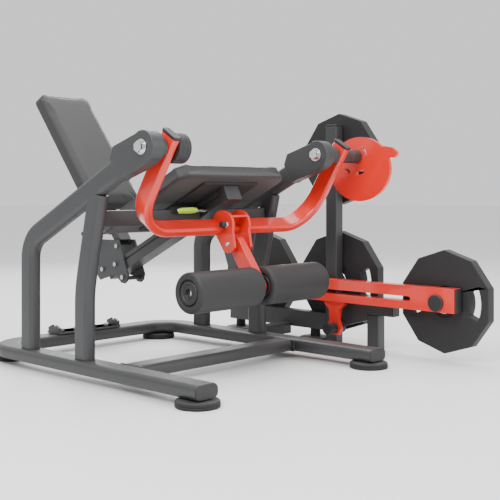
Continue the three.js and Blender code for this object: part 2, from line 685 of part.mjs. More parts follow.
// The stand carries the front of a beam that deepens back towards the tall post.
place('support_post', box(storeInner, storeOuter, STAND_Y - STORE_D / 2, STAND_Y + STORE_D / 2,
  0, BEAM_BOTTOM - GAP), charcoal);
place('support_bridge', slab([
  [BEAM_FRONT_Y, BEAM_BOTTOM], [STAND_Y + STORE_D / 2 + GAP, BEAM_BOTTOM],
  [STAND_Y + STORE_D / 2 + GAP, 127], [postFront - GAP, 80],
  [postFront - GAP, BEAM_TOP], [BEAM_FRONT_Y, BEAM_TOP],
], storeInner, storeOuter), charcoal);

place('storage_floor_rail', join(
  box(storeInner, storeOuter, postRear + GAP, 1090, LOW_RAIL_BOTTOM, LOW_RAIL_TOP),
  box(RAIL_X + RAIL_W / 2 + GAP, storeInner + 1, 690, 750, RAIL_BOTTOM + 1, RAIL_TOP - 1),
), charcoal);
place('storage_foot_front', foot(STORE_X, 562, LOW_RAIL_BOTTOM - GAP), rubber);
place('storage_foot_rear', foot(STORE_X, 1040, LOW_RAIL_BOTTOM - GAP), rubber);
place('storage_front_post', box(storeInner, storeOuter, postFront, postRear, 0, STORE_TOP),
  charcoal);
function storagePost(across, swell = 0) {
  return bentTube([
    point(STORE_X, STORE_REAR_Y, LOW_RAIL_TOP + GAP),
    point(STORE_X, STORE_REAR_Y, 190, 140),
    point(STORE_X, STORE_REAR_Y + 80, 400),
  ], ALONG_X, STORE_D + swell, across, 12);
}
place('storage_rear_post', storagePost(STORE_W), charcoal);
place('storage_rail', cut(
  box(storeInner, storeOuter, STORE_FRONT_Y + STORE_D / 2 + GAP, STORE_REAR_Y + 30,
    STORE_RAIL_Z - 30, STORE_RAIL_Z + 30),
  storagePost(STORE_W + 60, 2 * GAP),
), charcoal);

function storageHorn(y, z) {
  return join(
    rod(storeOuter + GAP, storeOuter + 8, y, z, 46, 20),
    rod(storeOuter + 4, storeOuter + 170, y, z, HORN_R, 18),
  );
}
const stored = [
  ['upper', STORE_FRONT_Y, 838, 207],
  ['lower', STORE_FRONT_Y, STORE_RAIL_Z + 8, STORE_PLATE_R],
  ['rear', 950, STORE_RAIL_Z, STORE_PLATE_R],
];
stored.forEach(([name, y, z, radius]) => {
  place(`storage_horn_${name}`, storageHorn(y, z), chrome);
  place(`storage_plate_${name}`, weightPlate(storeOuter + 8 + GAP, y, z, radius), rubber);
});

// The lever turns on a pin fixed to the storage rail.
function leverPin() {
  return join(
    rod(LEVER_X - 12, LEVER_X - 3, LEVER_PIVOT_Y, LEVER_Z, 30, 18),
    rod(LEVER_X - 6, storeInner - GAP - 4, LEVER_PIVOT_Y, LEVER_Z, 18, 18),
    rod(LEVER_X + LEVER_W + 3, storeInner - GAP, LEVER_PIVOT_Y, LEVER_Z, 32, 18),
  );
}
place('lever_pivot_pin', leverPin(), chrome);

// Stand the machine on the floor with the middle of its outline at the origin.
const outline = new THREE.Box3().setFromObject(machine);
const middle = outline.getCenter(new THREE.Vector3());
machine.position.set(-middle.x, -middle.y, -outline.min.z);

export default machine;
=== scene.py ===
import json
import math
import bmesh
import bpy
from mathutils import Matrix, Vector
from mathutils.bvhtree import BVHTree


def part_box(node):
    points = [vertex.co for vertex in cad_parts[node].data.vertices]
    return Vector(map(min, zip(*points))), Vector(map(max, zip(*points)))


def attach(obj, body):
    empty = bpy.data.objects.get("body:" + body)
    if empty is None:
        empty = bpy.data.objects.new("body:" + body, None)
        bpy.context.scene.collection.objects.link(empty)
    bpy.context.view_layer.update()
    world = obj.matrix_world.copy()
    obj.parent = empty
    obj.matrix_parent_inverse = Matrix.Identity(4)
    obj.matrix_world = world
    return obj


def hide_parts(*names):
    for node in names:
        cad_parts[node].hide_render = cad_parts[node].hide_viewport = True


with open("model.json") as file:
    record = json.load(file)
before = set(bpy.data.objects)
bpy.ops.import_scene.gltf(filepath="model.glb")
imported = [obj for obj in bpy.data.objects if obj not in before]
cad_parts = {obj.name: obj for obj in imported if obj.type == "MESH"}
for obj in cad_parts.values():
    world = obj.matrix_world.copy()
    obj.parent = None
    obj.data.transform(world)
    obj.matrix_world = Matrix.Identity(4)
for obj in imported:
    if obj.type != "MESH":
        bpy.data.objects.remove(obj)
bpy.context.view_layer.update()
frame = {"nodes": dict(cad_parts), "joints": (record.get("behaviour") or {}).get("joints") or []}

# ---- studio --------------------------------------------------------------------------------------
# A pale floor and soft lamps in a bright room. The camera stands level at the front near corner,
# and its lens is shifted a little so that the machine fills the frame.
scene = bpy.context.scene
camera = bpy.data.objects.new("camera", bpy.data.cameras.new("camera"))
camera.data.sensor_width = 36
camera.data.lens = 66.96
camera.data.shift_y = -0.115
camera.location = (-2.7423, -2.7809, 0.686)
camera.rotation_euler = (math.pi / 2, 0, math.radians(-46.5))
scene.collection.objects.link(camera)
scene.camera = camera


def add_lamp(name, place, aim, size, power):
    lamp = bpy.data.objects.new(name, bpy.data.lights.new(name, "AREA"))
    lamp.data.size = size
    lamp.data.energy = power
    lamp.location = place
    lamp.rotation_euler = (Vector(aim) - Vector(place)).to_track_quat("-Z", "Y").to_euler()
    scene.collection.objects.link(lamp)


add_lamp("key_lamp", (-3.2, -1.6, 3.4), (0, 0, 0.4), 2.2, 190)
add_lamp("front_lamp", (0.8, -4.2, 2.0), (0, 0, 0.5), 2.6, 95)
add_lamp("top_lamp", (0.6, 0.6, 4.2), (0, 0, 0.3), 3.0, 130)
add_lamp("rear_lamp", (2.6, 3.4, 2.6), (0, 0, 0.6), 2.4, 90)

room = bpy.data.worlds.new("room")
room.use_nodes = True
room.node_tree.nodes["Background"].inputs["Color"].default_value = (1, 1, 1, 1)
room.node_tree.nodes["Background"].inputs["Strength"].default_value = 1.0
scene.world = room

floor_mesh = bpy.data.meshes.new("floor")
reach = 40
floor_mesh.from_pydata([(-reach, -reach, 0), (reach, -reach, 0), (reach, reach, 0),
                        (-reach, reach, 0)],
                       [], [(0, 1, 2, 3)])
floor = bpy.data.objects.new("floor", floor_mesh)
scene.collection.objects.link(floor)
floor_finish = bpy.data.materials.new("pale_floor")
floor_finish.use_nodes = True
floor_finish.node_tree.nodes["Principled BSDF"].inputs["Base Color"].default_value = (0.9, 0.9, 0.9, 1)
floor_finish.node_tree.nodes["Principled BSDF"].inputs["Roughness"].default_value = 0.55
floor_mesh.materials.append(floor_finish)

# ---- powder coated base rails --------------------------------------------------------------------
# Two bent flat-oval steel tubes make the base: one for each side, each with half of the rear run.
# They are powder coated in satin charcoal, and black plugs close their front ends.


def new_group(name, inputs, outputs):
    """An empty shader group with number inputs and (name, kind) outputs."""
    group = bpy.data.node_groups.new(name, "ShaderNodeTree")
    for label, value in inputs:
        group.interface.new_socket(label, in_out="INPUT",
                                   socket_type="NodeSocketFloat").default_value = value
    for label, kind in outputs:
        group.interface.new_socket(label, in_out="OUTPUT", socket_type=kind)
    group.nodes.new("NodeGroupInput").name = "in"
    group.nodes.new("NodeGroupOutput").name = "out"
    return group


def put(tree, kind, settings=None, **values):
    """A node with its settings and the default values of its inputs."""
    node = tree.nodes.new(kind)
    for label, value in (settings or {}).items():
        setattr(node, label, value)
    for label, value in values.items():
        node.inputs[label.replace("_", " ")].default_value = value
    return node


def build_grain():
    """Fine bumps and slow tone changes, from two noises on object coordinates."""
    group = new_group("grain", [("Fine Scale", 900), ("Slow Scale", 6)],
                      [("Fine", "NodeSocketFloat"), ("Slow", "NodeSocketFloat")])
    place = group.nodes.new("ShaderNodeTexCoord").outputs["Object"]
    for scale, detail, out in (("Fine Scale", 3.0, "Fine"), ("Slow Scale", 5.0, "Slow")):
        noise = put(group, "ShaderNodeTexNoise", Detail=detail, Roughness=0.6)
        group.links.new(place, noise.inputs["Vector"])
        group.links.new(group.nodes["in"].outputs[scale], noise.inputs["Scale"])
        group.links.new(noise.outputs["Fac"], group.nodes["out"].inputs[out])
    return group


def build_edge_wear():
    """A mask that is bright on rubbed edges, broken up by noise."""
    group = new_group("edge_wear", [("Radius", 0.002), ("Break Up", 60)],
                      [("Mask", "NodeSocketFloat")])
    rounded = put(group, "ShaderNodeBevel", {"samples": 4})
    group.links.new(group.nodes["in"].outputs["Radius"], rounded.inputs["Radius"])
    true_normal = put(group, "ShaderNodeNewGeometry")
    dot = put(group, "ShaderNodeVectorMath", {"operation": "DOT_PRODUCT"})
    group.links.new(rounded.outputs["Normal"], dot.inputs[0])
    group.links.new(true_normal.outputs["Normal"], dot.inputs[1])
    rubbed = put(group, "ShaderNodeMapRange", {"clamp": True}, From_Min=0.985, From_Max=0.86)
    group.links.new(dot.outputs["Value"], rubbed.inputs["Value"])
    place = put(group, "ShaderNodeTexCoord")
    noise = put(group, "ShaderNodeTexNoise", Detail=6.0, Roughness=0.65)
    group.links.new(place.outputs["Object"], noise.inputs["Vector"])
    group.links.new(group.nodes["in"].outputs["Break Up"], noise.inputs["Scale"])
    patches = put(group, "ShaderNodeMapRange", {"clamp": True}, From_Min=0.46, From_Max=0.62)
    group.links.new(noise.outputs["Fac"], patches.inputs["Value"])
    both = put(group, "ShaderNodeMath", {"operation": "MULTIPLY"})
    group.links.new(rubbed.outputs["Result"], both.inputs[0])
    group.links.new(patches.outputs["Result"], both.inputs[1])
    group.links.new(both.outputs[0], group.nodes["out"].inputs["Mask"])
    return group


def build_dust():
    """A mask of thin dust on faces that look up, in soft patches."""
    group = new_group("dust", [("Patch Scale", 9)], [("Mask", "NodeSocketFloat")])
    facing = put(group, "ShaderNodeNewGeometry")
    split = put(group, "ShaderNodeSeparateXYZ")
    group.links.new(facing.outputs["Normal"], split.inputs[0])
    upward = put(group, "ShaderNodeMapRange", {"clamp": True}, From_Min=0.35, From_Max=1.0)
    group.links.new(split.outputs["Z"], upward.inputs["Value"])
    place = put(group, "ShaderNodeTexCoord")
    noise = put(group, "ShaderNodeTexNoise", Detail=7.0, Roughness=0.6)
    group.links.new(place.outputs["Object"], noise.inputs["Vector"])
    group.links.new(group.nodes["in"].outputs["Patch Scale"], noise.inputs["Scale"])
    both = put(group, "ShaderNodeMath", {"operation": "MULTIPLY"})
    group.links.new(upward.outputs["Result"], both.inputs[0])
    group.links.new(noise.outputs["Fac"], both.inputs[1])
    group.links.new(both.outputs[0], group.nodes["out"].inputs["Mask"])
    return group


grain_group, wear_group, dust_group = build_grain(), build_edge_wear(), build_dust()


def mix_colour(tree, factor, low, high):
    """A colour mix driven by a mask socket; low and high are colours or sockets."""
    mix = put(tree, "ShaderNodeMix", {"data_type": "RGBA"})
    tree.links.new(factor, mix.inputs[0])
    for index, side in ((6, low), (7, high)):
        if isinstance(side, tuple):
            mix.inputs[index].default_value = (*side, 1)
        else:
            tree.links.new(side, mix.inputs[index])
    return mix.outputs[2]


def scaled(tree, source, low, high):
    """The source's 0 to 1 mapped to low to high."""
    mapped = put(tree, "ShaderNodeMapRange", {"clamp": True}, To_Min=low, To_Max=high)
    tree.links.new(source, mapped.inputs["Value"])
    return mapped.outputs["Result"]


def coated_finish(name, colour, deep, worn, rough, fine_scale, bump, wear=1.0, dust=0.12,
                  metal=0.0, coat=0.0, specular=0.5):
    """Paint, plastic or plate: tone drift, fine grain, rubbed edges and a little dust."""
    finish = bpy.data.materials.new(name)
    finish.use_nodes = True
    tree = finish.node_tree
    shader = tree.nodes["Principled BSDF"]
    shader.inputs["Metallic"].default_value = metal
    shader.inputs["Coat Weight"].default_value = coat
    shader.inputs["Coat Roughness"].default_value = 0.08
    shader.inputs["Specular IOR Level"].default_value = specular
    grain = put(tree, "ShaderNodeGroup", {"node_tree": grain_group})
    grain.inputs["Fine Scale"].default_value = fine_scale
    worn_edges = put(tree, "ShaderNodeGroup", {"node_tree": wear_group})
    dusty = put(tree, "ShaderNodeGroup", {"node_tree": dust_group})
    tone = mix_colour(tree, grain.outputs["Slow"], deep, colour)
    edged = mix_colour(tree, scaled(tree, worn_edges.outputs["Mask"], 0, wear), tone, worn)
    dusted = mix_colour(tree, scaled(tree, dusty.outputs["Mask"], 0, dust), edged,
                        (0.42, 0.41, 0.4))
    tree.links.new(dusted, shader.inputs["Base Color"])
    tree.links.new(scaled(tree, grain.outputs["Slow"], rough - 0.07, rough + 0.07),
                   shader.inputs["Roughness"])
    relief = put(tree, "ShaderNodeBump", Strength=bump, Distance=0.0006)
    tree.links.new(grain.outputs["Fine"], relief.inputs["Height"])
    tree.links.new(relief.outputs["Normal"], shader.inputs["Normal"])
    return finish


charcoal = coated_finish("charcoal_powder_coat", (0.036, 0.037, 0.039), (0.026, 0.027, 0.028),
                         (0.1, 0.1, 0.1), 0.42, 1400, 0.35, wear=0.35)
black_plastic = coated_finish("black_moulded_plastic", (0.017, 0.017, 0.018), (0.011, 0.011, 0.012),
                              (0.06, 0.06, 0.06), 0.5, 2200, 0.2, wear=0.3)


def new_piece(name, mesh, finish=None):
    """A new object at the origin around a finished mesh."""
    piece = bpy.data.objects.new(name, mesh)
    scene.collection.objects.link(piece)
    if finish:
        mesh.materials.clear()
        mesh.materials.append(finish)
    return piece


def bake_modifiers(piece):
    """Turns what the modifiers show into the piece's plain mesh, and removes them."""
    bpy.context.view_layer.update()
    seen = piece.evaluated_get(bpy.context.evaluated_depsgraph_get())
    mesh = bpy.data.meshes.new_from_object(seen)
    piece.modifiers.clear()
    old = piece.data
    piece.data = mesh
    bpy.data.meshes.remove(old)
    mesh.name = piece.name


def soften_edges(piece, width, segments=2, angle=35):
    """Rounds the sharp edges by a small radius and keeps large faces flat in the light."""
    piece.data.polygons.foreach_set("use_smooth", [True] * len(piece.data.polygons))
    bevel = piece.modifiers.new("bevel", "BEVEL")
    bevel.width = width
    bevel.segments = segments
    bevel.limit_method = "ANGLE"
    bevel.angle_limit = math.radians(angle)
    piece.modifiers.new("even", "WEIGHTED_NORMAL")
    bake_modifiers(piece)


def rounded_path(corners, steps=14):
    """Points along straight runs and round bends. corners are (point, bend radius)."""
    points = [corners[0][0]]
    for (before, _), (corner, radius), (after, _) in zip(corners, corners[1:], corners[2:]):
        into = (corner - before).normalized()
        out = (after - corner).normalized()
        turn = into.angle(out)
        centre = corner + (out - into).normalized() * radius / math.cos(turn / 2)
        spoke = corner - into * radius * math.tan(turn / 2) - centre
        axis = into.cross(out).normalized()
        points += [centre + Matrix.Rotation(turn * k / steps, 3, axis) @ spoke
                   for k in range(steps + 1)]
    return points + [corners[-1][0]]


def build_tube_tree():
    """A tube with a rounded rectangular section, drawn along a path."""
    tree = bpy.data.node_groups.new("tube_on_path", "GeometryNodeTree")
    tree.interface.new_socket("Path", in_out="INPUT", socket_type="NodeSocketGeometry")
    for label in ("Across", "Deep", "Corner"):
        tree.interface.new_socket(label, in_out="INPUT", socket_type="NodeSocketFloat")
    tree.interface.new_socket("Finish", in_out="INPUT", socket_type="NodeSocketMaterial")
    tree.interface.new_socket("Tube", in_out="OUTPUT", socket_type="NodeSocketGeometry")
    given = tree.nodes.new("NodeGroupInput")
    result = tree.nodes.new("NodeGroupOutput")
    path = tree.nodes.new("GeometryNodeMeshToCurve")
    section = tree.nodes.new("GeometryNodeCurvePrimitiveQuadrilateral")
    section.mode = "RECTANGLE"
    corners = tree.nodes.new("GeometryNodeFilletCurve")
    corners.mode = "POLY"
    corners.inputs["Count"].default_value = 6
    drawn = tree.nodes.new("GeometryNodeCurveToMesh")
    drawn.inputs["Fill Caps"].default_value = True
    real = tree.nodes.new("GeometryNodeRealizeInstances")
    painted = tree.nodes.new("GeometryNodeSetMaterial")
    tree.links.new(given.outputs["Path"], path.inputs["Mesh"])
    tree.links.new(given.outputs["Across"], section.inputs["Width"])
    tree.links.new(given.outputs["Deep"], section.inputs["Height"])
    tree.links.new(section.outputs["Curve"], corners.inputs["Curve"])
    tree.links.new(given.outputs["Corner"], corners.inputs["Radius"])
    tree.links.new(path.outputs["Curve"], drawn.inputs["Curve"])
    tree.links.new(corners.outputs["Curve"], drawn.inputs["Profile Curve"])
    tree.links.new(drawn.outputs["Mesh"], real.inputs["Geometry"])
    tree.links.new(real.outputs["Geometry"], painted.inputs["Geometry"])
    tree.links.new(given.outputs["Finish"], painted.inputs["Material"])
    tree.links.new(painted.outputs["Geometry"], result.inputs["Tube"])
    return tree


def grow(name, tree, points, values, closed=False):
    """Runs a geometry tree on a chain of points and keeps the result as a plain mesh."""
    mesh = bpy.data.meshes.new(name)
    edges = [(k, k + 1) for k in range(len(points) - 1)]
    if closed:
        edges.append((len(points) - 1, 0))
    mesh.from_pydata([tuple(p) for p in points], edges, [])
    piece = new_piece(name, mesh)
    run = piece.modifiers.new("grow", "NODES")
    run.node_group = tree
    for item in tree.interface.items_tree:
        if item.in_out == "INPUT" and item.name in values:
            run[item.identifier] = values[item.name]
    bake_modifiers(piece)
    return piece


tube_tree = build_tube_tree()


def merge_points(piece):
    """Welds a grown mesh's doubled points and turns its faces outwards."""
    work = bmesh.new()
    work.from_mesh(piece.data)
    bmesh.ops.remove_doubles(work, verts=work.verts, dist=1e-5)
    bmesh.ops.recalc_face_normals(work, faces=work.faces)
    work.to_mesh(piece.data)
    work.free()


def bent_tube(name, corners, across, deep, corner, finish, edge=0.0012):
    """A finished tube. Across is its size in the plane of a flat path, or along X on a
    rising one."""
    piece = grow(name, tube_tree, rounded_path(corners),
                 {"Across": across, "Deep": deep, "Corner": corner, "Finish": finish})
    merge_points(piece)
    soften_edges(piece, edge, angle=50)
    return piece


RAIL_W = 0.1
RAIL_H = 0.05
near_low, near_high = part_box("base_near_rail")
far_low, far_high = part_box("base_far_rail")
rail_mid = near_low.z + RAIL_H / 2
rear_run = near_high.y - RAIL_W / 2
for node, side_x, joint_x in (("base_near_rail", near_low.x + RAIL_W / 2, near_high.x),
                              ("base_far_rail", far_high.x - RAIL_W / 2, far_low.x)):
    rail = bent_tube(node + "_tube", [
        (Vector((side_x, near_low.y + 0.004, rail_mid)), 0),
        (Vector((side_x, rear_run, rail_mid)), 0.13),
        (Vector((joint_x, rear_run, rail_mid)), 0),
    ], RAIL_W, RAIL_H, 0.02, charcoal)
    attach(rail, "frame")
    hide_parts(node)
    plug = bent_tube(node + "_plug", [
        (Vector((side_x, near_low.y, rail_mid)), 0),
        (Vector((side_x, near_low.y + 0.0037, rail_mid)), 0),
    ], RAIL_W - 0.002, RAIL_H - 0.002, 0.019, black_plastic, edge=0.0025)
    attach(plug, "frame")

# ---- front cross tube ----------------------------------------------------------------------------
# A straight length of the same tube joins the two rails near the front. Each end has a flat
# flange that is welded to it and bolted to the rail's inner face.
low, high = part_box("base_front_cross")
cross_y = (low.y + high.y) / 2
cross_z = (low.z + high.z) / 2
flange = 0.009
cross = bent_tube("front_cross_tube", [
    (Vector((low.x + flange, cross_y, cross_z)), 0),
    (Vector((high.x - flange, cross_y, cross_z)), 0),
], RAIL_W, RAIL_H - 0.002, 0.02, charcoal)
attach(cross, "frame")
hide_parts("base_front_cross")
for label, start in (("near", low.x), ("far", high.x - flange)):
    end_plate = bent_tube(f"front_cross_flange_{label}", [
        (Vector((start, cross_y, cross_z)), 0), (Vector((start + flange, cross_y, cross_z)), 0),
    ], high.y - low.y, high.z - low.z - 0.002, 0.006, charcoal)
    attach(end_plate, "frame")

# ---- rubber feet ---------------------------------------------------------------------------------
# Six turned rubber discs stand under the rails. Each has a rounded rim, two grooves around its
# side and a short hub that is screwed into the tube above.
foot_rubber = coated_finish("foot_rubber", (0.014, 0.014, 0.014), (0.01, 0.01, 0.01),
                            (0.05, 0.05, 0.05), 0.62, 900, 0.5, wear=0.4, dust=0.25, specular=0.3)


def turned(name, outline, centre, finish, sides=72, closed=False, upright=False, edge=0.0008):
    """A turned piece along X, or along Z if upright. outline is (distance along, radius)."""
    work = bmesh.new()
    rings = []
    for along, radius in outline:
        if radius == 0:
            rings.append([work.verts.new((along, 0, 0))])
            continue
        rings.append([work.verts.new((along, radius * math.cos(2 * math.pi * k / sides),
                                      radius * math.sin(2 * math.pi * k / sides)))
                                      for k in range(sides)])
    pairs = list(zip(rings, rings[1:])) + ([(rings[-1], rings[0])] if closed else [])
    for one, two in pairs:
        for k in range(sides):
            after = (k + 1) % sides
            if len(one) == 1:
                work.faces.new((one[0], two[k], two[after]))
            elif len(two) == 1:
                work.faces.new((one[k], two[0], one[after]))
            else:
                work.faces.new((one[k], two[k], two[after], one[after]))
    bmesh.ops.recalc_face_normals(work, faces=work.faces)
    mesh = bpy.data.meshes.new(name)
    work.to_mesh(mesh)
    work.free()
    turn = Matrix.Rotation(-math.pi / 2, 4, "Y") if upright else Matrix.Identity(4)
    mesh.transform(Matrix.Translation(centre) @ turn)
    piece = new_piece(name, mesh, finish)
    soften_edges(piece, edge, angle=30)
    return piece


FOOT_R = 0.075
foot_outline = [
    (0, 0), (0, FOOT_R - 0.004), (0.002, FOOT_R - 0.001), (0.008, FOOT_R),
    (0.0085, FOOT_R - 0.0015),
    (0.0105, FOOT_R - 0.0015), (0.011, FOOT_R - 0.0003), (0.0165, FOOT_R - 0.0008),
    (0.017, FOOT_R - 0.0022), (0.019, FOOT_R - 0.0022), (0.0195, FOOT_R - 0.0012),
    (0.023, FOOT_R - 0.004), (0.0248, FOOT_R - 0.012), (0.0252, 0.03), (0.0265, 0.024),
    (0.0278, 0.022), (0.0278, 0),
]
for node in ("foot_front_near", "foot_rear_near", "foot_front_far", "foot_rear_far",
             "storage_foot_front", "storage_foot_rear"):
    low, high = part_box(node)
    stem = [(high.z - 0.0002, 0.022), (high.z - 0.0002, 0)]
    foot = turned(node + "_disc", foot_outline[:-2] + stem,
                  Vector(((low.x + high.x) / 2, (low.y + high.y) / 2, 0)),
                  foot_rubber, upright=True, edge=0.0005)
    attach(foot, "frame")
    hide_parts(node)

# ---- rear saddle bracket -------------------------------------------------------------------------
# A folded steel plate lies over the joint between the two base halves. Two notched lugs stand
# at its ends, and four hexagon bolts with washers hold it down.
zinc = coated_finish("zinc_plated_steel", (0.56, 0.56, 0.57), (0.44, 0.44, 0.45),
                     (0.75, 0.75, 0.75),
                     0.24, 700, 0.15, wear=0.3, dust=0.08, metal=1.0)


def refined(node, name, finish, edge=0.0012, angle=35):
    """A copy of a CAD node with flat faces joined up and its sharp edges rounded."""
    source = frame["nodes"][node].data
    mesh = bpy.data.meshes.new(name)
    mesh.from_pydata([v.co[:] for v in source.vertices], [],
                     [p.vertices[:] for p in source.polygons])
    work = bmesh.new()
    work.from_mesh(mesh)
    bmesh.ops.remove_doubles(work, verts=work.verts, dist=1e-5)
    bmesh.ops.dissolve_limit(work, angle_limit=math.radians(0.8), verts=work.verts,
                             edges=work.edges)
    work.to_mesh(mesh)
    work.free()
    piece = new_piece(name, mesh, finish)
    soften_edges(piece, edge, angle=angle)
    return piece


def repaint(piece, finish, inside):
    """Gives a second finish to the faces whose middle passes the test."""
    piece.data.materials.append(finish)
    for face in piece.data.polygons:
        if inside(face.center):
            face.material_index = len(piece.data.materials) - 1


saddle = refined("rear_saddle_bracket", "rear_saddle_bracket_plate", charcoal, edge=0.0008)
low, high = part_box("rear_saddle_bracket")
plate_top = RAIL_H + near_low.z + 0.0083
repaint(saddle, zinc, lambda c: c.z > plate_top + 0.0002 and low.x + 0.02 < c.x < high.x - 0.02)
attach(saddle, "frame")
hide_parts("rear_saddle_bracket")

# ---- side frames ---------------------------------------------------------------------------------
# Each side has a bent rear tube, which runs down from the knee block and stands on the rail, and
# a front post that leans forward to meet it. The end blocks carry the yoke's pivots.
knee = Vector(next(j["pos_m"] for j in frame["joints"] if j["name"] == "yoke_swing"))
SLOPE = math.radians(26)
TUBE_W = 0.086
TUBE_T = 0.05


def on_slope(x, along, above=0.0):
    """A point behind the knee axis along the frame's slope, and above it at right angles."""
    return Vector((x, knee.y + along * math.cos(SLOPE) + above * math.sin(SLOPE),
                   knee.z - along * math.sin(SLOPE) + above * math.cos(SLOPE)))


for side in ("near", "far"):
    low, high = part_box(f"{side}_rear_tube")
    mid_x = (low.x + high.x) / 2
    rear_y = high.y - TUBE_W / 2
    corner_z = knee.z - (rear_y - knee.y) * math.tan(SLOPE)
    rear_tube = bent_tube(f"{side}_rear_tube_bend", [
        (Vector((mid_x, rear_y, low.z)), 0), (Vector((mid_x, rear_y, corner_z)), 0.11),
        (on_slope(mid_x, 0.175), 0),
    ], TUBE_T, TUBE_W, 0.022, charcoal)
    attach(rear_tube, "frame")
    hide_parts(f"{side}_rear_tube")
    low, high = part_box(f"{side}_front_post")
    post_y = high.y - TUBE_W / 2
    post_bend = Vector((mid_x, post_y, 0.33))
    post_top = on_slope(mid_x, 0.295)
    post_top -= (post_top - post_bend).normalized() * 0.03
    post = bent_tube(f"{side}_front_post_tube", [
        (Vector((mid_x, post_y, low.z)), 0), (post_bend, 0.5), (post_top, 0),
    ], TUBE_T - 0.0008, TUBE_W, 0.022, charcoal)
    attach(post, "frame")
    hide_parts(f"{side}_front_post")
    block = refined(f"{side}_clevis", f"{side}_knee_block", charcoal, edge=0.004)
    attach(block, "frame")
    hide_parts(f"{side}_clevis")

# ---- chrome knee bolts ---------------------------------------------------------------------------
# A large chromed hexagon bolt with a thick washer closes each knee pivot on the near face of
# its block. The pair is placed by one geometry tree.
chrome = coated_finish("polished_chrome", (0.78, 0.79, 0.8), (0.7, 0.71, 0.72), (0.85, 0.85, 0.85),
                       0.13, 400, 0.05, wear=0.2, dust=0.04, metal=1.0)


def build_bolt_tree():
    """Hexagon heads on washers, one at each point, facing along -X or by a given turn."""
    tree = bpy.data.node_groups.new("hexagon_bolts", "GeometryNodeTree")
    tree.interface.new_socket("Points", in_out="INPUT", socket_type="NodeSocketGeometry")
    for label in ("Head Radius", "Head Depth", "Washer Radius", "Washer Depth"):
        tree.interface.new_socket(label, in_out="INPUT", socket_type="NodeSocketFloat")
    tree.interface.new_socket("Turn", in_out="INPUT", socket_type="NodeSocketVector")
    tree.interface.new_socket("Finish", in_out="INPUT", socket_type="NodeSocketMaterial")
    tree.interface.new_socket("Bolts", in_out="OUTPUT", socket_type="NodeSocketGeometry")
    given = tree.nodes.new("NodeGroupInput")
    parts = tree.nodes.new("GeometryNodeJoinGeometry")
    for label, sides in (("Washer", 40), ("Head", 6)):
        solid = tree.nodes.new("GeometryNodeMeshCylinder")
        solid.inputs["Vertices"].default_value = sides
        half = tree.nodes.new("ShaderNodeMath")
        half.operation = "MULTIPLY"
        half.inputs[1].default_value = 0.5
        lift = tree.nodes.new("ShaderNodeCombineXYZ")
        move = tree.nodes.new("GeometryNodeTransform")
        tree.links.new(given.outputs[f"{label} Radius"], solid.inputs["Radius"])
        tree.links.new(given.outputs[f"{label} Depth"], solid.inputs["Depth"])
        tree.links.new(given.outputs[f"{label} Depth"], half.inputs[0])
        tree.links.new(half.outputs[0], lift.inputs["Z"])
        tree.links.new(lift.outputs[0], move.inputs["Translation"])
        tree.links.new(solid.outputs["Mesh"], move.inputs["Geometry"])
        tree.links.new(move.outputs["Geometry"], parts.inputs["Geometry"])
    spread = tree.nodes.new("GeometryNodeInstanceOnPoints")
    real = tree.nodes.new("GeometryNodeRealizeInstances")
    painted = tree.nodes.new("GeometryNodeSetMaterial")
    result = tree.nodes.new("NodeGroupOutput")
    tree.links.new(given.outputs["Points"], spread.inputs["Points"])
    tree.links.new(parts.outputs["Geometry"], spread.inputs["Instance"])
    tree.links.new(given.outputs["Turn"], spread.inputs["Rotation"])
    tree.links.new(spread.outputs["Instances"], real.inputs["Geometry"])
    tree.links.new(real.outputs["Geometry"], painted.inputs["Geometry"])
    tree.links.new(given.outputs["Finish"], painted.inputs["Material"])
    tree.links.new(painted.outputs["Geometry"], result.inputs["Bolts"])
    return tree


bolt_tree = build_bolt_tree()
TO_NEAR = Vector((0, -math.pi / 2, 0))
TO_FAR = Vector((0, math.pi / 2, 0))


def bolts(name, points, head, depth, washer, washer_depth, turn, finish):
    """Bolts of one size on one body, with the heads' edges chamfered."""
    piece = grow(name, bolt_tree, points, {
        "Head Radius": head, "Head Depth": depth, "Washer Radius": washer,
        "Washer Depth": washer_depth, "Turn": turn, "Finish": finish})
    soften_edges(piece, 0.0012, angle=40)
    return piece


for side in ("near", "far"):
    low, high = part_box(f"{side}_knee_bolt")
    knee_bolt = bolts(f"{side}_knee_bolt_head", [(high.x, knee.y, knee.z)], 0.02, 0.02, 0.0268,
                      0.0045,
                      TO_NEAR, chrome)
    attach(knee_bolt, "frame")
    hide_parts(f"{side}_knee_bolt")

# ---- seat pad ------------------------------------------------------------------------------------
# A thick foam seat in matt black vinyl slopes down to the rear. The top panel is sewn to the
# side band with piping, and the underside lies flat on a painted board.


